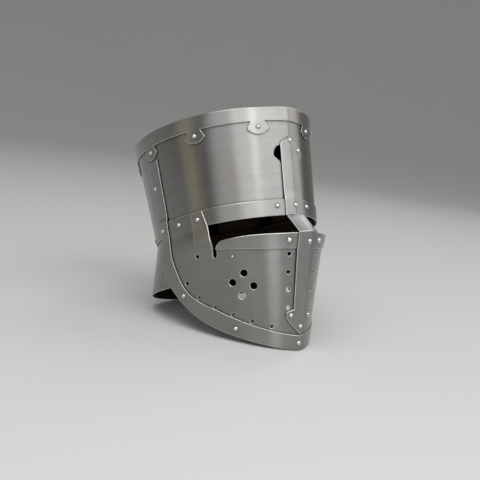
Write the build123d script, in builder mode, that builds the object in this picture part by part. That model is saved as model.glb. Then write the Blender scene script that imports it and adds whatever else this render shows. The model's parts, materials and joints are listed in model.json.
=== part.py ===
from build123d import *
from collections import namedtuple
from math import acos, atan2, cos, degrees, radians, sin, sqrt
import os

os.makedirs("parts", exist_ok=True)

# Great helm of riveted sheet steel, in millimetres.
# It stands as it rests on a table: on the point of its chin and on the back of its neck plate.
# Every piece is drawn in the helm's own frame, whose Z runs up the crown's axis, with the face
# towards -Y, the wearer's right at -X, and the lower edge of the crown at height zero.

# Sheet and layers
plate = 1.6
lap = 0.1
leather = 2.5
layer = plate + lap

# Crown, its outer face at height zero and at the top
crown_height = 144.0
brow_half_width = 109.5
brow_front_reach = 119.6
brow_rear_reach = 121.5
top_half_width = 118.4
top_front_reach = 133.7
top_rear_reach = 140.4
crown_keel_share = 0.13

# Face plate, its outer face below the eye slots and at the chin
cheek_drop = 30.0
cheek_half_width = 112.4
cheek_front_reach = 140.0
cheek_rear_reach = 98.0
cheek_centre = 23.0
cheek_keel_share = 0.223
chin_drop = 176.0
chin_half_width = 95.8
chin_front_reach = 86.2
chin_rear_reach = 60.0
chin_centre = 106.0
chin_keel_share = 0.12
blend_drop = 2.0
front_blend_length = 22.0
side_blend_length = 45.0
face_tab_height = 18.5

# Neck plate, its outer face at its lower edge
neck_drop = 68.0
neck_half_width = 106.2
neck_rear_reach = 95.4
neck_centre = 45.0
neck_lap = 12.0
neck_front_edge = 16.0

# Top plate and its riveted tabs
skirt_depth = 19.2
top_edge_radius = 1.4
top_edge_steps = 4
tab_count = 9
tab_neck_width = 19.2
tab_width = 29.4
tab_shoulder_drop = 10.0
tab_drop = 17.5
tab_rivet_drop = 7.5

# Side seam between the two crown plates, with the front one joggled in behind the back one
seam_setback = 15.0
seam_margin = 19.0
seam_base = 28.0

# Brow band, above the eye slots
brow_band_depth = 20.0
brow_band_setback = 2.2
brow_lip = 1.0

# Joggle of the face plate over the end of the brow band
joggle_reach = 35.0
joggle_length = 2.6
joggle_drop = 38.0

# Eye slots, as shares of the cheek's front reach and of the slot's fall
slot_fall = 45.2
slot_rear_shares = (
    (0.365, 1.104), (0.389, 0.161), (0.405, -0.175), (0.409, -0.56), (0.388, -0.83), (0.374, -0.945))
slot_lower_shares = (
    (0.388, -1.0), (0.414, -0.93), (0.427, -0.83), (0.452, -0.69), (0.491, -0.595),
    (0.569, -0.552), (0.744, -0.553), (1.07, -0.635))

# Cheek band along the lower edge of the slots
cheek_band_rear_drop = 34.3
cheek_band_front_drop = 50.6
cheek_band_rear_reach = 58.0
cheek_band_front_reach = 145.0

# Rim band, as shares of the cheek's front reach and of the chin's drop
rim_inner_shares = (
    (-0.064, -0.114), (-0.07, 0.06), (-0.045, 0.31), (0.0, 0.44), (0.103, 0.54), (0.223, 0.615),
    (0.4, 0.726), (0.58, 0.834), (0.78, 0.95))
rim_outer_shares = (
    (-0.221, -0.114), (-0.216, 0.06), (-0.2, 0.335), (-0.121, 0.477), (-0.011, 0.611),
    (0.214, 0.778), (0.464, 0.909))
rim_joggle_rise = 5.0
strip_top = 104.0
strip_spread = 5.0

# Central strap, from the crown over the nasal to the chin, as shares of its half width and length
strap_half_width = 16.0
strap_tip_height = 104.5
strap_kick_height = 30.0
strap_kick_lift = 0.9
nasal_bend_drop = 27.5
strap_waist_drop = 50.0
strap_foot_drop = 123.0
strap_foot_half_width = 12.0
spade_tip_drop = 155.4
head_shares = (
    (0.3, 0.965), (0.8, 0.925), (1.2, 0.89), (1.46, 0.845), (1.5, 0.765), (1.0, 0.69))
head_plain_shares = ((-0.3, 0.965), (-0.8, 0.925), (-0.96, 0.87))
notch_shares = (
    (-0.75, 0.88), (-1.18, 0.874), (-1.46, 0.825), (-1.53, 0.748), (-1.1, 0.686), (-0.8, 0.64))
spade_shares = ((1.3, 0.81), (1.27, 0.855), (0.97, 0.9))

# Holes, as shares of a right angle in plan from the front and of the chin's drop
breath_radius = 4.9
vent_radius = 2.7
breath_shares = ((0.449, 0.395), (0.553, 0.448), (0.383, 0.495), (0.49, 0.551))
edge_vent_shares = (
    (0.806, 0.218), (0.976, 0.39), (0.9, 0.514), (0.767, 0.599), (0.603, 0.677), (0.431, 0.744),
    (0.257, 0.8))
keel_vent_shares = ((0.121, 0.303), (0.123, 0.43), (0.122, 0.554), (0.118, 0.681))

# Rivets
rivet_radius = 3.2
rivet_rise = 2.3
shank_radius = 1.5
shank_clearance = 0.1
seat_gap = 0.05
peen_radius = 2.4
peen_rise = 0.9
large_rivet_share = 1.25
small_rivet_share = 0.6

# Rivet places in plan from the front, as shares of a right angle, with their heights or drops
seam_rivet_share = 1.141
seam_rivet_height = 68.0
rim_top_rivet_share = 1.128
cheek_tab_rivet_share = 0.928
cheek_corner_rivet_share = 0.742
cheek_tab_rivet_height = 8.4
brow_rivet_share = 0.143
brow_rivet_height = 12.0
neck_rivet_share = 1.444
neck_rivet_height = 5.5
cheek_band_rivet_share = 0.129
cheek_band_rivet_drop = 36.8
cheek_dot_share = 0.519
cheek_dot_drop = 46.8
rim_side_rivet_share = 1.041
rim_side_rivet_drop = 83.5
rim_cheek_rivet_share = 0.607
rim_cheek_rivet_drop = 137.2
chin_rivet_inset = 9.9
head_tip_rivet_inset = 5.9
head_ear_rivet_drop = 18.5
strap_face_rivet_drop = 40.0
spade_ear_rivet_rise = 25.0
spade_tip_rivet_inset = 10.3
ear_rivet_reach = 15.3

# Leather liner and its lace
liner_base = 1.5
liner_depth = 24.0
liner_middle_height = 72.0
liner_middle_inset = 14.0
liner_gather_height = 112.0
liner_gather_radius = 24.0
petal_names = (
    "front", "front_right", "right", "back_right", "back", "back_left", "left", "front_left")
petal_gap = 4.2
lace_radius = 1.5

# Reach of cutting shapes past what they cut, and the step for measuring a wall's slope
overrun = 60.0
hole_reach = 12.0
nudge = 0.5

# Rest on the table: the chin's point and the neck plate's back both touch it
rim_chin_reach = chin_front_reach + layer
neck_back_reach = neck_centre + neck_rear_reach
rest_tilt = atan2(chin_drop - neck_drop, rim_chin_reach + neck_back_reach)
rest_rise = chin_drop * cos(rest_tilt) - rim_chin_reach * sin(rest_tilt)
front_extent = rim_chin_reach * cos(rest_tilt) + chin_drop * sin(rest_tilt)
rear_extent = (top_rear_reach + layer) * cos(rest_tilt) + crown_height * sin(rest_tilt)
rest_shift = (front_extent - rear_extent) / 2
helm = Plane(
    origin=(0, rest_shift, rest_rise), x_dir=(1, 0, 0), z_dir=(0, sin(rest_tilt), cos(rest_tilt)))
side_view = Plane(origin=helm.origin, x_dir=helm.y_dir, z_dir=helm.x_dir)
front_view = Plane(origin=helm.origin, x_dir=helm.x_dir, z_dir=-helm.y_dir)

# One horizontal section of a wall: a half ellipse behind, two arcs that meet in a keel in front
Ring = namedtuple("Ring", "half_width front_reach rear_reach centre keel_share step")


def mix(share, start, end):
    return start + (end - start) * share


def mix_rings(share, start, end):
    return Ring(*(mix(share, first, last) for first, last in zip(start, end)))


def grow(ring, offset):
    return ring._replace(
        half_width=ring.half_width + offset,
        front_reach=ring.front_reach + offset,
        rear_reach=ring.rear_reach + offset)


def ease(share):
    bounded = min(max(share, 0), 1)
    return bounded * bounded * (3 - 2 * bounded)


brow_ring = Ring(brow_half_width, brow_front_reach, brow_rear_reach, 0, crown_keel_share, 0)
top_ring = Ring(top_half_width, top_front_reach, top_rear_reach, 0, crown_keel_share, 0)
cheek_ring = Ring(
    cheek_half_width, cheek_front_reach, cheek_rear_reach, cheek_centre, cheek_keel_share, 0)
chin_ring = Ring(
    chin_half_width, chin_front_reach, chin_rear_reach, chin_centre, chin_keel_share, 0)


def crown_law(height, offset=0):
    return grow(mix_rings(height / crown_height, brow_ring, top_ring), offset)


def face_blend(height):
    """The crown's section at the brow, blended into the leaning keel below the slots"""
    upper = crown_law(height, layer)
    lower = mix_rings((-height - cheek_drop) / (chin_drop - cheek_drop), cheek_ring, chin_ring)
    front = ease((-blend_drop - height) / front_blend_length)
    side = ease((-blend_drop - height) / side_blend_length)
    return Ring(
        mix(side, upper.half_width, lower.half_width),
        mix(front, upper.front_reach, lower.front_reach),
        mix(side, upper.rear_reach, lower.rear_reach),
        mix(side, upper.centre, lower.centre),
        mix(front, upper.keel_share, lower.keel_share),
        layer * (1 - ease((-blend_drop - height) / (joggle_drop - blend_drop))))


# Heights of the face's sections, closer where the brow blends into the keel
blend_heights = [-blend_drop - side_blend_length * step / 10 for step in range(11)]
face_heights = [brow_band_depth, *blend_heights, -chin_drop - brow_lip]


def bent_law(heights, rings, height):
    """Section between the nearest two of a list that runs downwards"""
    spans = list(zip(heights, heights[1:], rings, rings[1:]))
    top, bottom, upper, lower = next(
        (span for span in spans if span[1] <= height), spans[-1])
    return mix_rings((top - height) / (top - bottom), upper, lower)


face_rings = [face_blend(height) for height in face_heights]


def face_law(height, offset=0):
    return grow(bent_law(face_heights, face_rings, height), offset)


def neck_law(height, offset=0):
    waist = crown_law(0, -layer)
    hem = Ring(neck_half_width, waist.front_reach, neck_rear_reach, neck_centre, crown_keel_share, 0)
    if height > 0:
        return crown_law(height, offset - layer)
    return grow(mix_rings(-height / neck_drop, waist, hem), offset)


def keel_arcs(ring):
    """Centre shift, width and depth of the two front arcs"""
    shift = ring.keel_share * ring.half_width / (1 - ring.keel_share)
    depth = (ring.front_reach + ring.centre) / sqrt(1 - ring.keel_share**2)
    return shift, ring.half_width + shift, depth


def draw_ring(ring, stepped=False):
    """Outline of a section; a stepped one stands out in front of the joggle"""
    shift, width, depth = keel_arcs(ring)
    keel = degrees(acos(ring.keel_share))
    centre = ring.centre
    EllipticalCenterArc((0, centre), ring.half_width, ring.rear_reach, 0, arc_size=180)
    if not stepped:
        EllipticalCenterArc((shift, centre), width, depth, 180, arc_size=keel)
        EllipticalCenterArc((-shift, centre), width, depth, 360 - keel, arc_size=keel)
        return
    low_sine = (centre + joggle_reach - joggle_length / 2) / depth
    high_sine = (centre + joggle_reach + joggle_length / 2) / depth
    low = degrees(atan2(low_sine, sqrt(1 - low_sine**2)))
    high = degrees(atan2(high_sine, sqrt(1 - high_sine**2)))
    out_shift, out_width, out_depth = keel_arcs(grow(ring, ring.step))
    right_low = EllipticalCenterArc((shift, centre), width, depth, 180, arc_size=low)
    right_high = EllipticalCenterArc(
        (out_shift, centre), out_width, out_depth, 180 + high, arc_size=keel - high)
    left_high = EllipticalCenterArc(
        (-out_shift, centre), out_width, out_depth, 360 - keel, arc_size=keel - high)
    left_low = EllipticalCenterArc((-shift, centre), width, depth, 360 - low, arc_size=low)
    Line(right_low @ 1, right_high @ 0)
    Line(left_high @ 1, left_low @ 0)


def ring_solid(law, heights, offset, stepped=False):
    with BuildPart() as body:
        for height in heights:
            with BuildSketch(helm.offset(height)):
                with BuildLine():
                    draw_ring(law(height, offset), stepped)
                make_face()
        loft(ruled=True)
    return body.part


def ring_wall(law, heights, outer, inner, stepped=False):
    """Closed wall between two offsets of a section law"""
    with BuildPart() as wall:
        add(ring_solid(law, heights, outer, stepped))
        add(ring_solid(law, heights, inner, stepped), mode=Mode.SUBTRACT)
    return wall.part


def front_of(ring, across):
    """How far a section reaches forward at a distance from the keel"""
    shift, width, depth = keel_arcs(ring)
    return depth * sqrt(1 - ((abs(across) + shift) / width) ** 2) - ring.centre


def wall_point(ring, angle, height):
    """Point of a section at a plan angle from the front, positive to the wearer's right"""
    shift, width, depth = keel_arcs(ring)
    side = abs(sin(radians(angle)))
    ahead = cos(radians(angle))
    square = (side / width) ** 2 + (ahead / depth) ** 2
    cross = side * shift / width**2 + ahead * ring.centre / depth**2
    rest = (shift / width) ** 2 + (ring.centre / depth) ** 2 - 1
    reach = (sqrt(cross**2 - square * rest) - cross) / square
    if -reach * ahead > ring.centre:
        square = (side / ring.half_width) ** 2 + (ahead / ring.rear_reach) ** 2
        cross = ahead * ring.centre / ring.rear_reach**2
        rest = (ring.centre / ring.rear_reach) ** 2 - 1
        reach = (sqrt(cross**2 - square * rest) - cross) / square
    return Vector(-reach * sin(radians(angle)), -reach * ahead, height)


def plane_on(place, along, up):
    """Plane at a point of a wall, its Z pointing out of the helm"""
    out = along.cross(up).normalized()
    if out.dot(Vector(place.X, place.Y, 0)) < 0:
        out = -out
    start = helm.from_local_coords(place + out * seat_gap)
    return Plane(origin=start, z_dir=helm.from_local_coords(place + out) - start)


def wall_place(law, share, height, offset=0):
    angle = 90 * share
    ring = law(height, offset)
    turn = degrees(nudge / ring.half_width)
    along = wall_point(ring, angle + turn, height) - wall_point(ring, angle - turn, height)
    above = wall_point(law(height + nudge, offset), angle, height + nudge)
    below = wall_point(law(height - nudge, offset), angle, height - nudge)
    return plane_on(wall_point(ring, angle, height), along, above - below)


def on_both_sides(law, share, height, offset=0):
    return [wall_place(law, side * share, height, offset) for side in (1, -1)]


def raised(law):
    """The same section law with its part in front of the joggle carried right round"""
    return lambda height, offset=0: grow(law(height, offset), law(height, offset).step)


def hole_places(shares):
    return [
        place for share, drop in shares for place in on_both_sides(face_law, share, -drop * chin_drop)]


def pierce(places, radius=shank_radius + shank_clearance):
    with Locations(*places):
        Hole(radius, depth=hole_reach)


def seat(places):
    """Flat seats for rivet heads across the keel"""
    with Locations(*places):
        Cylinder(
            rivet_radius + shank_clearance, rivet_rise,
            align=(Align.CENTER, Align.CENTER, Align.MIN), mode=Mode.SUBTRACT)


def save(piece, label):
    piece.label = label
    export_step(piece, f"parts/{label}.step")


# Central strap: a ring law of its own, bent at each station down its length
front_face_law = raised(face_law)
strap_heights = (
    strap_tip_height, strap_kick_height, brow_band_depth + lap, 0, -nasal_bend_drop,
    -cheek_band_front_drop, -spade_tip_drop)
strap_rings = (
    crown_law(strap_tip_height, lap),
    crown_law(strap_kick_height, strap_kick_lift),
    crown_law(brow_band_depth + lap, layer + lap),
    crown_law(0, layer + lap),
    front_face_law(-nasal_bend_drop, layer + lap),
    front_face_law(-cheek_band_front_drop, layer + lap),
    front_face_law(-spade_tip_drop, lap))


def strap_law(height, offset=0):
    return grow(bent_law(strap_heights, strap_rings, height), offset)


def strap_point(across, height):
    return Vector(across, -front_of(strap_law(height, plate), across), height)


def strap_place(across, height):
    out = strap_point(across + nudge, height) - strap_point(across - nudge, height)
    return plane_on(
        strap_point(across, height), out,
        strap_point(across, height + nudge) - strap_point(across, height - nudge))


def keel_place(law, height, offset):
    """Place across a keel, where a rivet's head meets both flanks"""
    def edge(level):
        return Vector(0, -front_of(law(level, offset), rivet_radius), level)
    return plane_on(edge(height), Vector(nudge, 0, 0), edge(height + nudge) - edge(height - nudge))


# Rivet places
tab_height = crown_height - skirt_depth
tab_step = 360 / tab_count
tab_shares = [(index + 0.5) * tab_step / 90 for index in range(tab_count)]


def tab_place(share, drop=0):
    return wall_place(crown_law, share, tab_height - drop, layer)


tab_places = [tab_place(share, tab_rivet_drop) for share in tab_shares]
seam_tab_places = [
    place for place in tab_places
    if seam_setback < helm.to_local_coords(place.origin).Y < seam_setback + seam_margin]
plain_tab_places = [place for place in tab_places if place not in seam_tab_places]
seam_places = on_both_sides(crown_law, seam_rivet_share, seam_rivet_height, layer)
rim_top_places = on_both_sides(face_law, rim_top_rivet_share, cheek_tab_rivet_height, layer)
cheek_tab_places = on_both_sides(face_law, cheek_tab_rivet_share, cheek_tab_rivet_height)
cheek_corner_places = on_both_sides(
    front_face_law, cheek_corner_rivet_share, cheek_tab_rivet_height)
brow_places = on_both_sides(crown_law, brow_rivet_share, brow_rivet_height, layer)
neck_places = on_both_sides(crown_law, neck_rivet_share, neck_rivet_height)
neck_places.append(wall_place(crown_law, 2, neck_rivet_height))
cheek_band_places = on_both_sides(
    front_face_law, cheek_band_rivet_share, -cheek_band_rivet_drop, layer)
cheek_dot_places = on_both_sides(face_law, cheek_dot_share, -cheek_dot_drop)
rim_side_places = on_both_sides(face_law, rim_side_rivet_share, -rim_side_rivet_drop, layer)
rim_cheek_places = on_both_sides(face_law, rim_cheek_rivet_share, -rim_cheek_rivet_drop, layer)
chin_place = keel_place(face_law, chin_rivet_inset - chin_drop, layer)
head_tip_place = keel_place(strap_law, strap_tip_height - head_tip_rivet_inset, plate)
head_ear_place = strap_place(ear_rivet_reach, strap_tip_height - head_ear_rivet_drop)
strap_brow_place = keel_place(strap_law, brow_rivet_height, plate)
strap_face_place = keel_place(strap_law, -strap_face_rivet_drop, plate)
spade_tip_place = keel_place(strap_law, spade_tip_rivet_inset - spade_tip_drop, plate)
spade_ear_places = [
    strap_place(side * ear_rivet_reach, spade_ear_rivet_rise - spade_tip_drop) for side in (1, -1)]
keel_places = [head_tip_place, strap_brow_place, strap_face_place, spade_tip_place]

face_wall = ring_wall(face_law, face_heights, 0, -plate, stepped=True)
over_face_wall = ring_wall(face_law, face_heights, layer, lap, stepped=True)

# Outlines in side view, run right across the helm
full_width = 2 * (top_half_width + overrun)
full_reach = 2 * (top_rear_reach + overrun)


def side_points(shares, drop):
    return [(-cheek_front_reach * ahead, drop * up) for ahead, up in shares]


rim_inner = side_points(rim_inner_shares, -chin_drop)
rim_outer = side_points(rim_outer_shares, -chin_drop)
chin_point = (-rim_chin_reach, -chin_drop)
strip_front = (rim_inner[0][0], strip_top)
strip_rear = (rim_outer[0][0] + strip_spread, strip_top)


def past_chin(last, chin):
    """Point where the rim's edge, run on past the chin, leaves the helm"""
    slope = (chin[1] - last[1]) / (chin[0] - last[0])
    return chin[0] - overrun, chin[1] - slope * overrun


outer_exit = past_chin(rim_outer[-1], chin_point)
inner_exit = past_chin(rim_inner[-2], rim_inner[-1])


def side_prism(draw):
    """An outline of the side view, run right across the helm"""
    with BuildPart() as prism:
        with BuildSketch(side_view):
            with BuildLine():
                draw()
            make_face()
        extrude(amount=full_width, both=True)
    return prism.part


def keep_side(draw):
    add(side_prism(draw), mode=Mode.INTERSECT)


def draw_block(front, rear, low, high):
    Polyline((front, low), (rear, low), (rear, high), (front, high), close=True)


def draw_slot():
    rear = Spline(*side_points(slot_rear_shares, slot_fall))
    lower = Spline(rear @ 1, *side_points(slot_lower_shares, slot_fall))
    Polyline(lower @ 1, (-cheek_front_reach - overrun, (rear @ 0).Y), rear @ 0)


def draw_above_rim():
    edge = Spline(*rim_outer, chin_point)
    Polyline(
        edge @ 1, outer_exit, (outer_exit[0], crown_height), (rim_outer[0][0], crown_height), edge @ 0)


def draw_rim():
    outer = Spline(*rim_outer, chin_point)
    inner = Spline(*rim_inner)
    Polyline(outer @ 1, outer_exit, inner_exit, inner @ 1)
    Polyline(inner @ 0, strip_front, strip_rear, outer @ 0)


def draw_cheek_band():
    rear = (-cheek_band_rear_reach, -cheek_band_rear_drop)
    front = (-cheek_band_front_reach, -cheek_band_front_drop)
    Polyline(rear, front, (front[0], 0), (rear[0], 0), close=True)


slot = side_prism(draw_slot)

# Crown plates
crown_top = crown_height - layer
crown_wall = ring_wall(crown_law, (0, crown_top), 0, -plate)

with BuildPart() as crown_front_skin:
    add(crown_wall)
    keep_side(lambda: draw_block(-full_reach, seam_setback, -overrun, crown_height))
    with BuildSketch(front_view):
        with BuildLine():
            Spline(
                *((strap_half_width * across, strap_tip_height * up) for across, up in notch_shares),
                periodic=True)
        make_face()
    extrude(amount=full_reach, mode=Mode.SUBTRACT)

with BuildPart() as seam_lap:
    add(ring_wall(crown_law, (seam_base, crown_top), -layer, -layer - plate))
    keep_side(
        lambda: draw_block(seam_setback - plate, seam_setback + seam_margin, 0, crown_height))

with BuildPart() as seam_web:
    add(ring_wall(crown_law, (seam_base, crown_top), 0, -layer - plate))
    keep_side(lambda: draw_block(seam_setback - plate, seam_setback, 0, crown_height))

with BuildPart() as crown_front:
    add(crown_front_skin.part)
    add(seam_lap.part)
    add(seam_web.part)
    pierce(tab_places + seam_places + cheek_tab_places + cheek_corner_places + brow_places)
    pierce([head_tip_place, head_ear_place, strap_brow_place])
save(crown_front.part, "crown_front")

with BuildPart() as crown_back:
    add(crown_wall)
    keep_side(lambda: draw_block(seam_setback + lap, full_reach, -overrun, crown_height))
    pierce(tab_places + seam_places + rim_top_places + neck_places)
save(crown_back.part, "crown_back")

# Top plate, with its skirt and tabs
with BuildPart() as tab_prisms:
    for share in tab_shares:
        on_skirt = tab_place(share)
        across = helm.z_dir.cross(on_skirt.z_dir)
        with BuildSketch(Plane(origin=on_skirt.origin, x_dir=across, z_dir=on_skirt.z_dir)):
            with BuildLine():
                fan = ThreePointArc(
                    (-tab_width / 2, -tab_shoulder_drop), (0, -tab_drop),
                    (tab_width / 2, -tab_shoulder_drop))
                Polyline(
                    fan @ 1, (tab_neck_width / 2, 0), (tab_neck_width / 2, plate),
                    (-tab_neck_width / 2, plate), (-tab_neck_width / 2, 0), fan @ 0)
            make_face()
        extrude(amount=hole_reach, both=True)

with BuildPart() as tabs:
    add(ring_wall(crown_law, (tab_height - tab_drop - lap, tab_height), layer, lap))
    add(tab_prisms.part, mode=Mode.INTERSECT)

edge_radius = min(top_edge_radius, plate - lap)
edge_turns = [90 * step / top_edge_steps for step in range(top_edge_steps + 1)]
edge_heights = [crown_height - edge_radius * (1 - sin(radians(turn))) for turn in edge_turns]
edge_insets = [edge_radius * (1 - cos(radians(turn))) for turn in edge_turns]


def top_law(height, offset=0):
    """The crown's section, drawn in over the rounded edge of its top"""
    inset = next((inset for level, inset in zip(edge_heights, edge_insets) if level >= height), 0)
    return crown_law(height, offset - inset)


with BuildPart() as top_plate:
    add(ring_solid(top_law, (crown_height - plate, *edge_heights), layer))
    add(ring_wall(crown_law, (tab_height, crown_height - plate), layer, lap))
    add(tabs.part)
    pierce(tab_places)
save(top_plate.part, "top_plate")

# Neck plate
with BuildPart() as neck_plate:
    add(ring_wall(neck_law, (-neck_drop, 0, neck_lap), 0, -plate))
    keep_side(lambda: draw_block(neck_front_edge, full_reach, -full_reach, full_reach))
    pierce(neck_places + rim_top_places)
save(neck_plate.part, "neck_plate")

# Brow band
with BuildPart() as brow_band:
    add(ring_wall(crown_law, (-brow_lip, brow_band_depth), layer, lap))
    keep_side(
        lambda: draw_block(-full_reach, -joggle_reach - brow_band_setback, -overrun, overrun))
    pierce(brow_places + cheek_corner_places + [strap_brow_place])
save(brow_band.part, "brow_band")

# Face plate
with BuildPart() as face_plate:
    add(face_wall)
    keep_side(draw_above_rim)
    keep_side(lambda: draw_block(-full_reach, full_reach, -full_reach, face_tab_height))
    add(slot, mode=Mode.SUBTRACT)
    pierce(hole_places(breath_shares), breath_radius)
    pierce(hole_places(edge_vent_shares + keel_vent_shares), vent_radius)
    pierce(rim_top_places + cheek_tab_places + cheek_corner_places)
    pierce(rim_side_places + rim_cheek_places + spade_ear_places)
    pierce([strap_face_place, spade_tip_place, chin_place])
    pierce(cheek_band_places, shank_radius * large_rivet_share + shank_clearance)
    pierce(cheek_dot_places, shank_radius * small_rivet_share + shank_clearance)
save(face_plate.part, "face_plate")

# Cheek band
with BuildPart() as cheek_band:
    add(over_face_wall)
    keep_side(draw_cheek_band)
    add(slot, mode=Mode.SUBTRACT)
    pierce([strap_face_place])
    pierce(cheek_band_places, shank_radius * large_rivet_share + shank_clearance)
save(cheek_band.part, "cheek_band")

# Rim band: over the face plate, joggled down to the crown above it
joggle_top = brow_band_depth + rim_joggle_rise


def rim_strip_law(height, offset=0):
    share = ease((joggle_top - height) / rim_joggle_rise)
    return crown_law(height, offset + layer * share)


with BuildPart() as rim_band:
    add(over_face_wall)
    add(ring_wall(rim_strip_law, (brow_band_depth, joggle_top, strip_top), layer, lap))
    keep_side(draw_rim)
    pierce(seam_places + rim_top_places + rim_side_places + rim_cheek_places + [chin_place])
    seat([chin_place])
save(rim_band.part, "rim_band")

# Central strap
with BuildPart() as nasal_strap:
    add(ring_wall(strap_law, strap_heights, plate, 0))
    with BuildSketch(front_view):
        with BuildLine():
            head = [(strap_half_width * across, strap_tip_height * up) for across, up in head_shares]
            plain = [
                (strap_half_width * across, strap_tip_height * up) for across, up in head_plain_shares]
            foot = [(strap_half_width * across, -spade_tip_drop * up) for across, up in spade_shares]
            ear = Spline((0, strap_tip_height), *head)
            lobe = Spline((0, strap_tip_height), *plain)
            left = Polyline(
                ear @ 1, (strap_half_width, -strap_waist_drop),
                (strap_foot_half_width, -strap_foot_drop), *foot, (0, -spade_tip_drop))
            right = Polyline(
                left @ 1, *((-across, height) for across, height in reversed(foot)),
                (-strap_foot_half_width, -strap_foot_drop), (-strap_half_width, -strap_waist_drop),
                lobe @ 1)
        make_face()
    extrude(amount=full_reach, mode=Mode.INTERSECT)
    pierce(keel_places + [head_ear_place] + spade_ear_places)
    seat(keel_places)
save(nasal_strap.part, "nasal_strap")

# Liner: a headband that steps in over the neck plate, and petals sewn to it, gathered by a lace
band_top = liner_base + liner_depth
petal_base = band_top + lap
petal_count = len(petal_names)
gap_flare = top_rear_reach * petal_gap / liner_gather_radius / 2
gathered_ring = Ring(liner_gather_radius, liner_gather_radius, liner_gather_radius, 0, 0, 0)


def petal_law(height, offset=0):
    base = crown_law(petal_base, -2 * layer)
    middle = crown_law(liner_middle_height, -liner_middle_inset)
    if height <= liner_middle_height:
        share = (height - petal_base) / (liner_middle_height - petal_base)
        return grow(mix_rings(share, base, middle), offset)
    share = (height - liner_middle_height) / (liner_gather_height - liner_middle_height)
    return grow(mix_rings(share, middle, gathered_ring), offset)


with BuildPart() as front_headband:
    add(ring_wall(crown_law, (liner_base, band_top), -layer, -layer - leather))
    keep_side(lambda: draw_block(-full_reach, neck_front_edge - leather, -overrun, crown_height))

with BuildPart() as rear_headband:
    add(ring_wall(crown_law, (liner_base, band_top), -2 * layer, -2 * layer - leather))
    keep_side(
        lambda: draw_block(neck_front_edge - 2 * leather, full_reach, -overrun, crown_height))

with BuildPart() as liner_headband:
    add(front_headband.part)
    add(rear_headband.part)
    pierce(cheek_tab_places + cheek_corner_places + brow_places + [strap_brow_place])
    pierce(rim_top_places + neck_places)
save(liner_headband.part, "liner_headband")

with BuildPart() as liner_petals:
    add(ring_wall(
        petal_law, (petal_base, liner_middle_height, liner_gather_height), 0, -leather))
    with BuildSketch(helm):
        with PolarLocations(0, petal_count, start_angle=180 / petal_count):
            Polygon((0, 0), (top_rear_reach, -gap_flare), (top_rear_reach, gap_flare), align=None)
    extrude(amount=crown_height, mode=Mode.SUBTRACT)


def petal_turn(petal):
    """Turns from the front petal to this one, towards the wearer's right"""
    middle = helm.to_local_coords(petal.center())
    return round(petal_count * atan2(-middle.X, -middle.Y) / radians(360)) % petal_count


for petal in liner_petals.solids():
    save(petal, f"liner_petal_{petal_names[petal_turn(petal)]}")

with BuildPart(helm.offset(liner_gather_height - lace_radius)) as liner_lace:
    Torus(liner_gather_radius - leather - lap - lace_radius, lace_radius)
save(liner_lace.part, "liner_lace")


# Rivets: a domed head, a shank through the stack and a peened tail
def rivet(stack, share):
    dome_radius = (rivet_radius**2 + rivet_rise**2) / (2 * rivet_rise) * share
    dome_drop = dome_radius - rivet_rise * share
    start = degrees(atan2(dome_drop, rivet_radius * share))
    with BuildPart() as body:
        with BuildSketch(Plane.XZ):
            with BuildLine():
                dome = CenterArc((0, -dome_drop), dome_radius, start, 90 - start)
                Polyline(
                    dome @ 1, (0, -stack - peen_rise * share), (peen_radius * share, -stack),
                    (shank_radius * share, -stack), (shank_radius * share, 0), dome @ 0)
            make_face()
        revolve(axis=Axis.Z)
    return body.part


def rivet_group(label, *runs):
    """Rivets of one node, each run with its places, the stack it joins and its head's share"""
    with BuildPart() as group:
        for places, stack, share in runs:
            one = rivet(stack, share)
            for place in places:
                add(place.location * one)
    save(group.part, label)


def strap_stack(law, height):
    """From the strap's outer face to behind the wall below it"""
    return strap_law(height, plate).front_reach - law(height, -layer).front_reach


lining = leather + lap
rivet_group("tab_rivets", (plain_tab_places, 2 * layer, 1), (seam_tab_places, 3 * layer, 1))
rivet_group("seam_rivets", (seam_places, 3 * layer, 1))
rivet_group("side_rivets", (rim_top_places, 4 * layer + lining, 1))
rivet_group(
    "cheek_tab_rivets", (cheek_tab_places, 2 * layer + lining, 1),
    (cheek_corner_places, 3 * layer + lining, 1))
rivet_group("brow_band_rivets", (brow_places, 2 * layer + lining, 1))
rivet_group("neck_rivets", (neck_places, 2 * layer + lining, 1))
rivet_group("cheek_band_rivets", (cheek_band_places, 2 * layer, large_rivet_share))
rivet_group("cheek_dots", (cheek_dot_places, layer, small_rivet_share))
rivet_group("rim_rivets", (rim_side_places + rim_cheek_places + [chin_place], 2 * layer, 1))
rivet_group(
    "strap_head_rivets",
    ([head_tip_place], strap_stack(crown_law, strap_tip_height - head_tip_rivet_inset), 1),
    ([head_ear_place], strap_stack(crown_law, strap_tip_height - head_ear_rivet_drop), 1))
rivet_group(
    "strap_brow_rivet",
    ([strap_brow_place], strap_stack(crown_law, brow_rivet_height) + lining, 1))
rivet_group(
    "strap_face_rivet",
    ([strap_face_place], strap_stack(front_face_law, -strap_face_rivet_drop), 1))
rivet_group(
    "spade_rivets",
    ([spade_tip_place], strap_stack(face_law, spade_tip_rivet_inset - spade_tip_drop), 1),
    (spade_ear_places, strap_stack(face_law, spade_ear_rivet_rise - spade_tip_drop), 1))
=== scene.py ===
import json
import math

import bpy
from mathutils import Matrix, Vector


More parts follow.
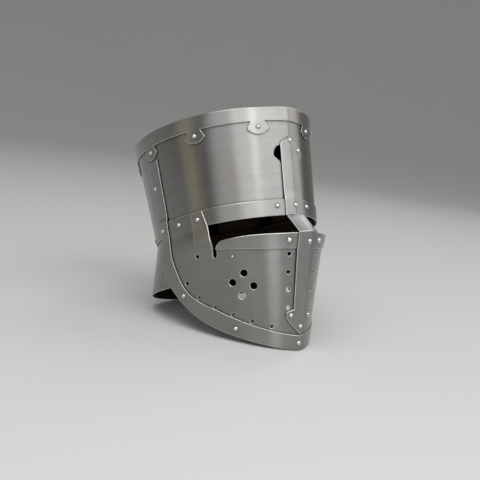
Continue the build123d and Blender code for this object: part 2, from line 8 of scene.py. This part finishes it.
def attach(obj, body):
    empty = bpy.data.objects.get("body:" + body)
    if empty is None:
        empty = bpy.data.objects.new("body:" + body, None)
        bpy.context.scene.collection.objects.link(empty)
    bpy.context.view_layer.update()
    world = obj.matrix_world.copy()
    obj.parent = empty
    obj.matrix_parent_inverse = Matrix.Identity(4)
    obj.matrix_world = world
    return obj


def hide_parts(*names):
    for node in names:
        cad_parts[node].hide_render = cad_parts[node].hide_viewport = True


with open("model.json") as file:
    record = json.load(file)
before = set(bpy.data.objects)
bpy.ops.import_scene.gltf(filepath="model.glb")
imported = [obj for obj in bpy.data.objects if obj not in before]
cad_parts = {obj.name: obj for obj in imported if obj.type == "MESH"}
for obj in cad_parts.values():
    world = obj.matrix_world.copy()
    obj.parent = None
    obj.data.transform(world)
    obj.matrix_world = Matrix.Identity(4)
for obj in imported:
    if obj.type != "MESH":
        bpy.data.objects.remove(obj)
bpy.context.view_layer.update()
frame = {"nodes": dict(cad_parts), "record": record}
nodes = frame["nodes"]

# The helm's own axes in the row's frame: X to the wearer's left, BACK to the nape, UP the crown
CROWN_HEIGHT = 0.144
flat_top = next(mount for mount in frame["record"]["mounts"] if mount["name"] == "flat_top")
SIDE = Vector((1, 0, 0))
UP = Vector(flat_top["axis"]).normalized()
BACK = UP.cross(SIDE)
ORIGIN = Vector(flat_top["pos_m"]) - CROWN_HEIGHT * UP
LEAN = math.atan2(UP.y, UP.z)

# Camera: how the photograph looks at the helm, in the helm's own frame
VIEW_YAW = math.radians(40.716)
VIEW_PITCH = math.radians(12.065)
VIEW_ROLL = math.radians(-0.653)
VIEW_DISTANCE = 1.3151
VIEW_ASIDE = -0.0039
VIEW_ABOVE = 0.0226
FRAME_PIXELS = 480
FOCAL_PIXELS = 933.2
SENSOR_WIDTH = 36.0

# Crown wall: half width, front reach and rear reach at its foot and at its top, and its keel
BROW_REACHES = (0.1095, 0.1196, 0.1215)
TOP_REACHES = (0.1184, 0.1337, 0.1404)
KEEL = 0.13

# Liner: heights above the crown's foot, insets from the crown wall's outer face
LEATHER = 0.0023
BAND_LOW = 0.0017
BAND_HIGH = 0.0254
FRONT_INSET = 0.0018
REAR_INSET = 0.0035
INSET_STEP_START = 0.003
INSET_STEP_RUN = 0.009
BAND_WRINKLE = 0.0003
PETALS = ("front", "front_right", "right", "back_right", "back", "back_left", "left", "front_left")
PETAL_LOW = 0.0257
PETAL_MIDDLE = 0.072
PETAL_HIGH = 0.112
PETAL_MIDDLE_INSET = 0.0141
PETAL_HALF_ANGLE = math.radians(17.3)
PETAL_TIP_TAPER = math.radians(2.5)
PETAL_BEND = 0.004
PETAL_CURL = 0.0016
PETAL_PUCKER = 0.0006
PETAL_FREE_START = 0.036
PETAL_FREE_RUN = 0.02
PETAL_TAPER_START = 0.100
PETAL_TAPER_RUN = 0.014
GATHER_RADIUS = 0.0239
LACE_RADIUS = 0.0015
LACE_HEIGHT = 0.1105
LACE_LOOP_RADIUS = 0.0199
LACE_WAVE = 0.0006
THREAD_RADIUS = 0.00045
THREAD_GAP = 0.0003
STITCH_SPACING = 0.0062
STITCH_LENGTH = 0.0040
LOWER_SEAM_MARGIN = 0.0032
UPPER_SEAM_MARGIN = 0.0034

# Steel: edges lightened, part wear and part painted highlight, painted shade in the seams
# and on the inner faces; over LID_HEIGHT a face that looks down is the top plate's
EDGE_RADIUS = 0.0013
LID_HEIGHT = 0.13
WORN_EDGE_AND_HIGHLIGHT = (0.93, 0.92, 0.90)
SEAM_SHADE = (0.04, 0.036, 0.03)
RIVET_SEAT_SHADE = (0.02, 0.018, 0.015)
RIVET_INSIDE_SHADE = (0.10, 0.08, 0.06)
INSIDE_SHADE_DARK = (0.012, 0.01, 0.008)
INSIDE_SHADE_BROWN = (0.05, 0.037, 0.026)


def in_helm(x, y, z):
    """A point of the helm's own frame, in the row's frame"""
    return ORIGIN + x * SIDE + y * BACK + z * UP


def mix(share, start, end):
    return start + (end - start) * share


def ease(share):
    bounded = min(max(share, 0), 1)
    return bounded * bounded * (3 - 2 * bounded)


# Node materials
class Shader:
    """A material's node tree, with short calls that add and join nodes"""

    def __init__(self, name):
        self.material = bpy.data.materials.new(name)
        self.material.use_nodes = True
        self.tree = self.material.node_tree
        self.surface = self.tree.nodes["Principled BSDF"]

    def put(self, node, socket, value):
        if isinstance(value, bpy.types.NodeSocket):
            self.tree.links.new(value, node.inputs[socket])
        else:
            node.inputs[socket].default_value = value

    def add(self, kind, *values, operation=None, **named):
        node = self.tree.nodes.new(kind)
        if operation:
            node.operation = operation
        for socket, value in [*enumerate(values), *named.items()]:
            self.put(node, socket, value)
        return node

    def math(self, operation, *values, clamp=False):
        node = self.add("ShaderNodeMath", *values, operation=operation)
        node.use_clamp = clamp
        return node.outputs[0]

    def vector(self, operation, *values):
        return self.add("ShaderNodeVectorMath", *values, operation=operation).outputs["Vector"]

    def dot(self, first, second):
        node = self.add("ShaderNodeVectorMath", first, second, operation="DOT_PRODUCT")
        return node.outputs["Value"]

    def step(self, value, low, high):
        """0 below low and 1 above high, smooth between them"""
        node = self.add("ShaderNodeMapRange", value, low, high)
        node.interpolation_type = "SMOOTHSTEP"
        return node.outputs["Result"]

    def place(self):
        """Object coordinates in the helm's own frame, so that Z runs up the crown"""
        node = self.add("ShaderNodeMapping", self.add("ShaderNodeTexCoord").outputs["Object"])
        node.inputs["Rotation"].default_value = (LEAN, 0, 0)
        node.inputs["Location"].default_value = -(Matrix.Rotation(LEAN, 3, "X") @ ORIGIN)
        return node.outputs["Vector"]

    def normal(self):
        """The surface's normal in the helm's own frame"""
        node = self.add("ShaderNodeMapping", self.add("ShaderNodeTexCoord").outputs["Normal"])
        node.vector_type = "VECTOR"
        node.inputs["Rotation"].default_value = (LEAN, 0, 0)
        return node.outputs["Vector"]

    def parts(self, vector):
        return self.add("ShaderNodeSeparateXYZ", vector).outputs

    def joined(self, x, y, z):
        return self.add("ShaderNodeCombineXYZ", x, y, z).outputs["Vector"]

    def noise(self, place, scale, detail=2.0, roughness=0.5):
        node = self.add("ShaderNodeTexNoise", Vector=place, Scale=scale, Detail=detail)
        node.inputs["Roughness"].default_value = roughness
        return node.outputs["Fac"]

    def ramp(self, factor, *stops):
        node = self.add("ShaderNodeValToRGB", factor)
        points = node.color_ramp.elements
        while len(points) < len(stops):
            points.new(0.5)
        for point, (place, colour) in zip(points, stops):
            point.position = place
            point.color = (*colour, 1)
        return node.outputs["Color"]

    def blend(self, factor, first, second):
        """The first colour at 0 and the second at 1"""
        node = self.tree.nodes.new("ShaderNodeMix")
        node.data_type = "RGBA"
        self.put(node, "Factor", factor)
        for name, value in (("A", first), ("B", second)):
            socket = next(s for s in node.inputs if s.name == name and s.type == "RGBA")
            if isinstance(value, bpy.types.NodeSocket):
                self.tree.links.new(value, socket)
            else:
                socket.default_value = (*value, 1)
        return next(s for s in node.outputs if s.type == "RGBA")

    def rounded(self, radius):
        """The normal over edges rounded by a radius, and how far it turns from the flat one"""
        node = self.add("ShaderNodeBevel", radius)
        node.samples = 6
        flat = self.add("ShaderNodeNewGeometry").outputs["Normal"]
        turn = self.math("SUBTRACT", 1.0, self.dot(node.outputs["Normal"], flat))
        return node.outputs["Normal"], turn

    def open_air(self, reach, power):
        """1 in the open and 0 in the corner where two sheets meet"""
        node = self.add("ShaderNodeAmbientOcclusion", Distance=reach)
        node.samples = 8
        return self.math("POWER", node.outputs["AO"], power, clamp=True)

    def bump(self, height, strength, distance, normal=None):
        node = self.add("ShaderNodeBump", Strength=strength, Distance=distance, Height=height)
        if normal:
            self.put(node, "Normal", normal)
        self.put(self.surface, "Normal", node.outputs["Normal"])


def shade(colour, share):
    return tuple(min(channel * share, 1) for channel in colour)


def inner_face(shader, place):
    """1 on the faces that look into the helm"""
    x, y, z = shader.parts(place)
    outward = shader.vector("NORMALIZE", shader.joined(x, y, 0))
    normal = shader.normal()
    wall = shader.step(shader.math("MULTIPLY", shader.dot(outward, normal), -1), 0.2, 0.45)
    below = shader.math("MULTIPLY", shader.parts(normal)[2], -1)
    under_lid = shader.math("GREATER_THAN", z, LID_HEIGHT)
    lid = shader.math("MULTIPLY", shader.step(below, 0.6, 0.9), under_lid)
    return shader.math("MAXIMUM", wall, lid)


def steel(name, tone, roughness, lengthwise=False):
    """Satin steel: brushed, edges lightened as wear and painted highlight, painted shade in seams
    and inside
    """
    shader = Shader(name)
    place = shader.place()
    x, y, z = shader.parts(place)
    upright = shader.math("ABSOLUTE", shader.parts(shader.normal())[2])
    flat = shader.math("GREATER_THAN", upright, 0.85)
    if lengthwise:
        across = shader.joined(x, 0, shader.math("MULTIPLY", z, 0.006))
    else:
        level = shader.math("ADD", z, shader.math("MULTIPLY", flat, y))
        around = shader.math("ARCTAN2", x, y)
        across = shader.joined(shader.math("MULTIPLY", around, 0.0008), level, 0)
    lines = shader.noise(across, 1500.0, 3.0, 0.65)
    streaks = shader.noise(across, 160.0, 5.0, 0.6)
    clouds = shader.noise(place, 11.0, 3.0, 0.5)
    smudges = shader.noise(place, 48.0, 6.0, 0.62)
    marks = shader.noise(shader.joined(x, shader.math("MULTIPLY", y, 0.3), z), 330.0, 2.0, 0.6)

    base = shader.ramp(streaks, (0.3, shade(tone, 0.94)), (0.7, shade(tone, 1.04)))
    warm = (tone[0], tone[1] * 0.945, tone[2] * 0.86)
    tinted = shader.blend(shader.step(clouds, 0.45, 0.72), base, warm)
    stained = shader.blend(shader.step(smudges, 0.55, 0.85), tinted, shade(tone, 0.8))
    normal, turn = shader.rounded(EDGE_RADIUS)
    # Plate edges lightened in patches: part wear, part painted highlight where edges catch light
    edge = shader.math("MULTIPLY", shader.step(turn, 0.005, 0.06), shader.step(marks, 0.1, 0.38))
    bright = shader.blend(edge, stained, WORN_EDGE_AND_HIGHLIGHT)
    # Painted shade: darker colour where two sheets meet, in seams and under edges
    seam_shaded = shader.blend(shader.open_air(0.004, 1.8), SEAM_SHADE, bright)
    inside = inner_face(shader, place)
    # Painted shade: inner faces painted near black and brown
    inside_shade = shader.ramp(smudges, (0.35, INSIDE_SHADE_DARK), (0.75, INSIDE_SHADE_BROWN))
    shader.put(shader.surface, "Base Color", shader.blend(inside, seam_shaded, inside_shade))
    shader.put(shader.surface, "Metallic", 1.0)

    spread = shader.math("MULTIPLY_ADD", lines, 0.12, roughness - 0.08)
    cloudy = shader.math("MULTIPLY_ADD", smudges, 0.10, spread)
    rough = shader.math("MULTIPLY_ADD", inside, 0.25, cloudy)
    shader.put(shader.surface, "Roughness", rough)
    shader.bump(lines, 0.09, 0.0001, normal)

    # Highlights stretch up and down, a quarter turn from lines brushed round the helm
    shader.put(shader.surface, "Anisotropic", 0.8)
    shader.put(shader.surface, "Anisotropic Rotation", 0.25)
    facing = shader.add("ShaderNodeNewGeometry").outputs["Normal"]
    around_axis = shader.vector("CROSS_PRODUCT", facing, tuple(UP))
    sideways = shader.vector("CROSS_PRODUCT", facing, tuple(SIDE))
    tangent = shader.blend(flat, around_axis, sideways)
    shader.put(shader.surface, "Tangent", shader.vector("NORMALIZE", tangent))
    return shader.material


def polished(name, tone):
    """Domed rivet heads, polished on top, with a ring of painted shade where they seat and painted
    shade on the inner faces
    """
    shader = Shader(name)
    place = shader.place()
    marks = shader.noise(place, 500.0, 5.0, 0.65)
    pits = shader.noise(place, 2600.0, 2.0, 0.5)
    metal = shader.ramp(marks, (0.3, shade(tone, 0.9)), (0.7, shade(tone, 1.05)))
    # Painted shade: dark ring where the rivet head seats
    seam_shaded = shader.blend(shader.open_air(0.0035, 2.6), RIVET_SEAT_SHADE, metal)
    inside = inner_face(shader, place)
    # Painted shade: the rivet's inner faces painted dark
    shader.put(shader.surface, "Base Color", shader.blend(inside, seam_shaded, RIVET_INSIDE_SHADE))
    shader.put(shader.surface, "Metallic", 1.0)
    shader.put(shader.surface, "Roughness", shader.math("MULTIPLY_ADD", marks, 0.16, 0.2))
    shader.bump(pits, 0.12, 0.0002)
    return shader.material


def leather(name, tone, grain):
    """Oiled leather: pebbled grain, darker creases and rubbed high spots, with painted shade where
    sheets meet
    """
    shader = Shader(name)
    place = shader.place()
    cells = shader.add("ShaderNodeTexVoronoi", Vector=place, Scale=grain)
    cells.feature = "DISTANCE_TO_EDGE"
    folds = shader.noise(place, 30.0, 6.0, 0.65)
    pores = shader.noise(place, grain * 2.3, 3.0, 0.6)
    colour = shader.ramp(
        folds, (0.3, shade(tone, 0.5)), (0.52, tone), (0.78, shade(tone, 1.6)))
    rubbed = shader.blend(shader.step(pores, 0.58, 0.75), colour, shade(tone, 1.9))
    # Painted shade: leather darker in corners where sheets meet
    shader.put(
        shader.surface, "Base Color",
        shader.blend(shader.open_air(0.006, 1.0), shade(tone, 0.25), rubbed))
    shader.put(shader.surface, "Roughness", shader.math("MULTIPLY_ADD", pores, 0.3, 0.45))
    shader.put(shader.surface, "Specular IOR Level", 0.4)
    shader.bump(
        shader.math("MULTIPLY_ADD", pores, 0.25, cells.outputs["Distance"]), 0.45, 0.0007)
    return shader.material


def linen(name, tone):
    """Waxed thread, twisted"""
    shader = Shader(name)
    twist = shader.add("ShaderNodeTexWave", Vector=shader.place(), Scale=900.0, Distortion=1.5)
    shader.put(
        shader.surface, "Base Color",
        shader.ramp(twist.outputs["Fac"], (0.2, shade(tone, 0.55)), (0.8, tone)))
    shader.put(shader.surface, "Roughness", 0.7)
    shader.bump(twist.outputs["Fac"], 0.5, 0.0003)
    return shader.material


def paper(name, tone):
    """Studio paper with faint fibres"""
    shader = Shader(name)
    place = shader.add("ShaderNodeTexCoord").outputs["Object"]
    fibres = shader.noise(place, 80.0, 5.0, 0.6)
    shader.put(
        shader.surface, "Base Color",
        shader.ramp(fibres, (0.3, shade(tone, 0.985)), (0.7, tone)))
    shader.put(shader.surface, "Roughness", 0.8)
    shader.put(shader.surface, "Specular IOR Level", 0.2)
    return shader.material


plate_steel = steel("plate_steel", (0.26, 0.259, 0.252), 0.27)
band_steel = steel("band_steel", (0.285, 0.284, 0.277), 0.29)
strap_steel = steel("strap_steel", (0.285, 0.284, 0.277), 0.29, lengthwise=True)
top_steel = steel("top_steel", (0.30, 0.299, 0.291), 0.27)
rivet_steel = polished("rivet_steel", (0.72, 0.71, 0.69))
liner_leather = leather("liner_leather", (0.075, 0.047, 0.03), 800.0)
lace_leather = leather("lace_leather", (0.11, 0.062, 0.035), 1500.0)
thread_linen = linen("thread_linen", (0.42, 0.34, 0.22))

FINISHES = {
    "plate_steel": plate_steel, "band_steel": band_steel, "rivet_steel": rivet_steel,
    "liner_leather": liner_leather, "lace_leather": lace_leather}
OWN_FINISHES = {"nasal_strap": strap_steel, "top_plate": top_steel}
for part in frame["record"]["subparts"]:
    node = nodes[part["node"]]
    node.data.materials.clear()
    finish = OWN_FINISHES.get(part["node"], FINISHES[part["material_slot"]])
    node.data.materials.append(finish)


# Liner: leather pieces in place of the plain solids
def crown_reaches(height, inset):
    share = height / CROWN_HEIGHT
    return [mix(share, low, high) - inset for low, high in zip(BROW_REACHES, TOP_REACHES)]


def wall_reach(reaches, angle):
    """From the helm's axis to a wall, at a plan angle from the front"""
    half_width, front, rear = reaches
    side, ahead = abs(math.sin(angle)), math.cos(angle)
    if ahead < 0:
        return 1 / math.hypot(side / half_width, ahead / rear)
    shift = KEEL * half_width / (1 - KEEL)
    width, depth = half_width + shift, front / math.sqrt(1 - KEEL**2)
    square = (side / width) ** 2 + (ahead / depth) ** 2
    cross = side * shift / width**2
    return (math.sqrt(cross**2 - square * ((shift / width) ** 2 - 1)) - cross) / square


def at_plan(angle, distance, height):
    return in_helm(-distance * math.sin(angle), -distance * math.cos(angle), height)


def new_piece(name, vertices, faces, material):
    mesh = bpy.data.meshes.new(name)
    mesh.from_pydata([tuple(v) for v in vertices], [], faces)
    mesh.materials.append(material)
    mesh.shade_smooth()
    piece = bpy.data.objects.new(name, mesh)
    bpy.context.scene.collection.objects.link(piece)
    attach(piece, "root")
    return piece


def grid_faces(rows, columns, closed=False):
    """Quads of a grid of points, row by row, with its columns joined up if it is closed"""
    wrap = columns if closed else columns - 1
    return [
        (row * columns + column, row * columns + (column + 1) % columns,
         (row + 1) * columns + (column + 1) % columns, (row + 1) * columns + column)
        for row in range(rows - 1) for column in range(wrap)]


def thicken(piece):
    solid = piece.modifiers.new("thickness", "SOLIDIFY")
    solid.thickness = LEATHER
    solid.offset = 1
    solid.use_even_offset = True
    soft = piece.modifiers.new("soft_edges", "SUBSURF")
    soft.levels = soft.render_levels = 1


def band_point(angle, height, extra=0):
    """On the headband's outer face, which steps inward where the neck plate starts"""
    back = -wall_reach(crown_reaches(height, 0), angle) * math.cos(angle)
    stepped = ease((back - INSET_STEP_START) / INSET_STEP_RUN)
    inset = mix(stepped, FRONT_INSET, REAR_INSET) + extra
    return at_plan(angle, wall_reach(crown_reaches(height, inset), angle), height)


def make_headband():
    columns, rows = 240, 8
    heights = [mix(row / (rows - 1), BAND_LOW, BAND_HIGH) for row in range(rows)]
    angles = [2 * math.pi * column / columns for column in range(columns)]
    points = [
        band_point(angle, height, BAND_WRINKLE * (1 + math.sin(37 * angle + 3 * row)) / 2)
        for row, height in enumerate(heights) for angle in angles]
    piece = new_piece(
        "headband_leather", points, grid_faces(rows, columns, closed=True), liner_leather)
    thicken(piece)
    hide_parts("liner_headband")
    middle = (BAND_LOW + BAND_HIGH) / 2
    ring = [band_point(angle, middle) for angle in angles]
    girth = sum((a - b).length for a, b in zip(ring, ring[1:] + ring[:1]))
    return piece, (girth, BAND_HIGH - BAND_LOW)


def petal_reach(angle, height):
    """The petal's outer face: up from the headband, then bent in towards the gather"""
    low = wall_reach(crown_reaches(PETAL_LOW, REAR_INSET), angle)
    middle = wall_reach(crown_reaches(PETAL_MIDDLE, PETAL_MIDDLE_INSET), angle)
    lower = mix((height - PETAL_LOW) / (PETAL_MIDDLE - PETAL_LOW), low, middle)
    upper = mix((height - PETAL_MIDDLE) / (PETAL_HIGH - PETAL_MIDDLE), middle, GATHER_RADIUS)
    weight = math.exp(-lower / PETAL_BEND) + math.exp(-upper / PETAL_BEND)
    return -PETAL_BEND * math.log(weight)


def make_petal(index, name):
    columns, rows = 11, 24
    centre = 2 * math.pi * index / len(PETALS)
    points = []
    for row in range(rows):
        height = mix(row / (rows - 1), PETAL_LOW, PETAL_HIGH)
        free = ease((height - PETAL_FREE_START) / PETAL_FREE_RUN)
        taper = PETAL_TIP_TAPER * ease((height - PETAL_TAPER_START) / PETAL_TAPER_RUN)
        half_angle = PETAL_HALF_ANGLE - taper
        for column in range(columns):
            side = 2 * column / (columns - 1) - 1
            pucker = PETAL_PUCKER * abs(math.sin(9 * side + 0.6 * row + index)) * free
            curl = PETAL_CURL * side**2 * free
            angle = centre + side * half_angle
            points.append(at_plan(angle, petal_reach(angle, height) - curl - pucker, height))
    piece = new_piece(
        f"petal_leather_{name}", points, grid_faces(rows, columns), liner_leather)
    thicken(piece)
    middle = [points[row * columns + columns // 2] for row in range(rows)]
    length = sum((a - b).length for a, b in zip(middle, middle[1:]))
    foot = points[:columns]
    width = sum((a - b).length for a, b in zip(foot, foot[1:]))
    area = sum(polygon.area for polygon in piece.data.polygons)
    return piece, (width, length), area


def make_stitches(name, route):
    """Short stitches laid along a route of points, each with the way out of the leather"""
    vertices, faces = [], []
    travelled, due = 0.0, 0.0
    sides = 6
    rings = ((-0.5, 0.35), (-0.4, 0.9), (0, 1.15), (0.4, 0.9), (0.5, 0.35))
    for (start, out), (end, _) in zip(route, route[1:]):
        along = end - start
        travelled += along.length
        if travelled < due:
            continue
        due = travelled + STITCH_SPACING
        along.normalize()
        across = along.cross(out).normalized()
        for share, swell in rings:
            lift = out * THREAD_RADIUS * (0.7 if abs(share) < 0.45 else -0.8)
            for side in range(sides):
                turn = 2 * math.pi * side / sides
                vertices.append(
                    start + along * share * STITCH_LENGTH + lift
                    + THREAD_RADIUS * swell * (across * math.cos(turn) + out * math.sin(turn)))
        first = len(vertices) - len(rings) * sides
        last = len(vertices) - sides
        walls = grid_faces(len(rings), sides, closed=True)
        faces += [tuple(first + i for i in face) for face in walls]
        faces += [tuple(first + i for i in reversed(range(sides))),
                  tuple(last + i for i in range(sides))]
    return new_piece(name, vertices, faces, thread_linen)


def band_route(height, turns=720):
    route = []
    for step in range(turns):
        angle = 2 * math.pi * step / turns
        point = band_point(angle, height, LEATHER + THREAD_GAP)
        route.append((point, (in_helm(0, 0, height) - point).normalized()))
    return route + route[:1]


def add_thong(curve, points, closed=False):
    spline = curve.splines.new("POLY")
    spline.points.add(len(points) - 1)
    for point, place in zip(spline.points, points):
        point.co = (*place, 1)
    spline.use_cyclic_u = closed


def make_lace():
    """A thong run round inside the petals' tips, with a knot at the nape"""
    curve = bpy.data.curves.new("lace_thong", "CURVE")
    curve.dimensions = "3D"
    curve.bevel_depth = LACE_RADIUS * 0.8
    curve.bevel_resolution = 4
    loop = []
    for step in range(96):
        angle = 2 * math.pi * step / 96
        wave = math.cos(len(PETALS) * angle)
        reach = LACE_LOOP_RADIUS - LACE_WAVE + 0.0004 * wave
        loop.append(at_plan(angle, reach, LACE_HEIGHT + LACE_WAVE * wave))
    add_thong(curve, loop, closed=True)
    for way in (-1, 1):
        knot = []
        for step in range(22):
            share = step / 21
            swirl = 2 * math.pi * share
            angle = math.pi + way * (0.02 + 0.16 * share + 0.06 * math.sin(swirl))
            reach = LACE_LOOP_RADIUS - 0.0022 - 0.0012 * math.sin(swirl / 2)
            height = LACE_HEIGHT - 0.002 * share + 0.0016 * math.cos(swirl) * (1 - share)
            knot.append(at_plan(angle, reach, height))
        add_thong(curve, knot)
    curve.materials.append(lace_leather)
    piece = bpy.data.objects.new("lace_thong", curve)
    bpy.context.scene.collection.objects.link(piece)
    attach(piece, "root")
    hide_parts("liner_lace")


def make_liner():
    headband, size = make_headband()
    lower = make_stitches("stitches_lower", band_route(BAND_LOW + LOWER_SEAM_MARGIN))
    upper = make_stitches("stitches_upper", band_route(BAND_HIGH - UPPER_SEAM_MARGIN))
    for index, name in enumerate(PETALS):
        petal, flat, area = make_petal(index, name)
        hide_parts(f"liner_petal_{name}")


# Studio: a pale paper sweep all round, and soft lights
def make_sweep():
    flat_radius, wall_radius, height = 2.4, 4.4, 4.0
    bend = wall_radius - flat_radius
    turns = [math.pi / 2 * step / 16 for step in range(1, 17)]
    profile = [(0.001, 0.0), (flat_radius, 0.0)]
    profile += [
        (flat_radius + bend * math.sin(turn), bend * (1 - math.cos(turn))) for turn in turns]
    profile.append((wall_radius, height))
    columns = 96
    angles = [2 * math.pi * column / columns for column in range(columns)]
    vertices = [
        (radius * math.cos(angle), radius * math.sin(angle), level)
        for radius, level in profile for angle in angles]
    mesh = bpy.data.meshes.new("paper_sweep")
    mesh.from_pydata(vertices, [], grid_faces(len(profile), columns, closed=True))
    mesh.materials.append(paper("sweep_paper", (0.6, 0.6, 0.59)))
    mesh.shade_smooth()
    sweep = bpy.data.objects.new("paper_sweep", mesh)
    bpy.context.scene.collection.objects.link(sweep)


def soft_light(name, azimuth, elevation, distance, size, power, colour=(1, 1, 1)):
    """An area light, in degrees and metres as seen from the helm

    The azimuth runs from the helm's front towards the wearer's right.
    """
    lamp = bpy.data.lights.new(name, "AREA")
    lamp.shape = "RECTANGLE"
    lamp.size, lamp.size_y = size
    lamp.energy = power
    lamp.color = colour
    light = bpy.data.objects.new(name, lamp)
    bpy.context.scene.collection.objects.link(light)
    around, above = math.radians(azimuth), math.radians(elevation)
    way = Vector((
        -math.sin(around) * math.cos(above), -math.cos(around) * math.cos(above), math.sin(above)))
    light.location = Vector((0, 0, 0.15)) + distance * way
    light.rotation_euler = (-way).to_track_quat("-Z", "Y").to_euler()


def make_world(strength):
    world = bpy.data.worlds.new("studio")
    bpy.context.scene.world = world
    world.use_nodes = True
    background = world.node_tree.nodes["Background"]
    background.inputs["Color"].default_value = (0.80, 0.81, 0.83, 1)
    background.inputs["Strength"].default_value = strength


def make_camera():
    """Stands where the photograph was taken from, as seen from the helm"""
    yaw_cos, yaw_sin = math.cos(VIEW_YAW), math.sin(VIEW_YAW)
    pitch_cos, pitch_sin = math.cos(VIEW_PITCH), math.sin(VIEW_PITCH)
    right = yaw_cos * SIDE - yaw_sin * pitch_cos * BACK - yaw_sin * pitch_sin * UP
    level_ahead = yaw_sin * SIDE + yaw_cos * pitch_cos * BACK + yaw_cos * pitch_sin * UP
    level_up = -pitch_sin * BACK + pitch_cos * UP
    place = ORIGIN - VIEW_ASIDE * right - VIEW_ABOVE * level_up - VIEW_DISTANCE * level_ahead
    up = math.cos(VIEW_ROLL) * level_up + math.sin(VIEW_ROLL) * level_ahead
    ahead = math.cos(VIEW_ROLL) * level_ahead - math.sin(VIEW_ROLL) * level_up
    lens = bpy.data.cameras.new("photo_view")
    lens.sensor_width = SENSOR_WIDTH
    lens.lens = FOCAL_PIXELS / FRAME_PIXELS * SENSOR_WIDTH
    camera = bpy.data.objects.new("photo_view", lens)
    bpy.context.scene.collection.objects.link(camera)
    turn = Matrix((right, up, -ahead)).transposed().to_4x4()
    camera.matrix_world = Matrix.Translation(place) @ turn
    bpy.context.scene.camera = camera


make_lace()
make_liner()
make_sweep()
make_world(0.25)
soft_light("key", -7, 38, 2.3, (2.1, 1.6), 25)
soft_light("key_right", 31, 36, 2.3, (1.05, 1.6), 9.5)
soft_light("key_left", -68, 28, 2.3, (1.0, 1.6), 7)
soft_light("side", 100, 14, 2.2, (0.7, 1.6), 1.7, (1, 0.84, 0.54))
soft_light("fill_right", 59, 22, 2.3, (1.1, 1.7), 5)
soft_light("low", 27, 6, 2.2, (0.5, 0.4), 2.2)
soft_light("back", 155, 32, 2.4, (0.8, 1.4), 2.5)
soft_light("top", 75, 64, 2.2, (1.4, 1.6), 18)
soft_light("above", -114, 43, 2.2, (0.6, 1.8), 9)
make_camera()
bpy.context.scene.view_settings.view_transform = "Standard"
